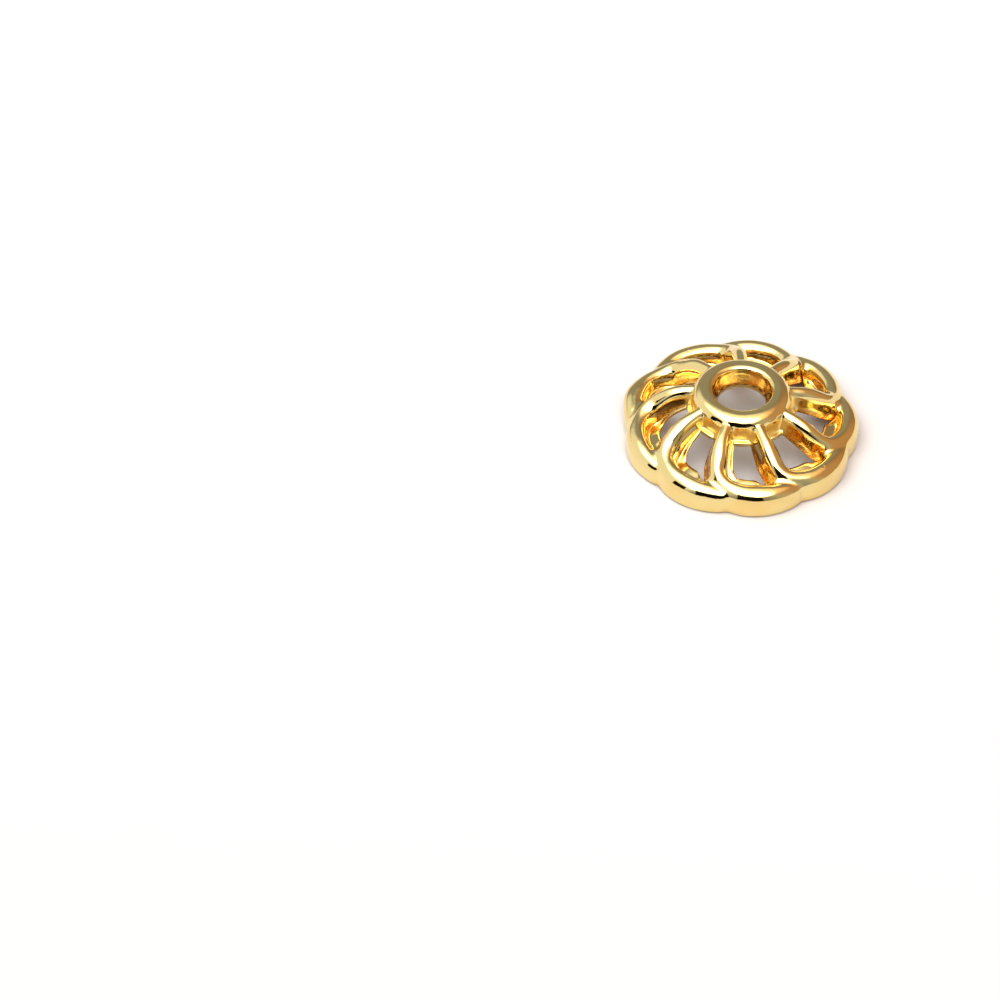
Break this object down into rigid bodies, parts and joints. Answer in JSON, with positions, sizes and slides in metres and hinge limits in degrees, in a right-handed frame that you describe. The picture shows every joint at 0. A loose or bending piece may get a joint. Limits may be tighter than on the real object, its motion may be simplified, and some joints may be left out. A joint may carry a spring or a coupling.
{
  "type": "bead cap",
  "caption": "Domed openwork bead cap: curved petals swirl from a raised, bored collar down to a scalloped rim that sits over the end of a round bead.",
  "frame": {"origin": "centre of the foot's plane, on the axis of the thread hole", "axes": "+Z along the thread hole, from the foot to the collar; +X through the middle of one lobe of the rim"},
  "size_m": [0.0099, 0.01, 0.0028],
  "materials": {
    "bead_cap": "cast, tumbled and plated in polished pale gold, rougher inside"
  },
  "bodies": {
    "root": {"bead_cap": "bead_cap"}
  },
  "joints": []
}
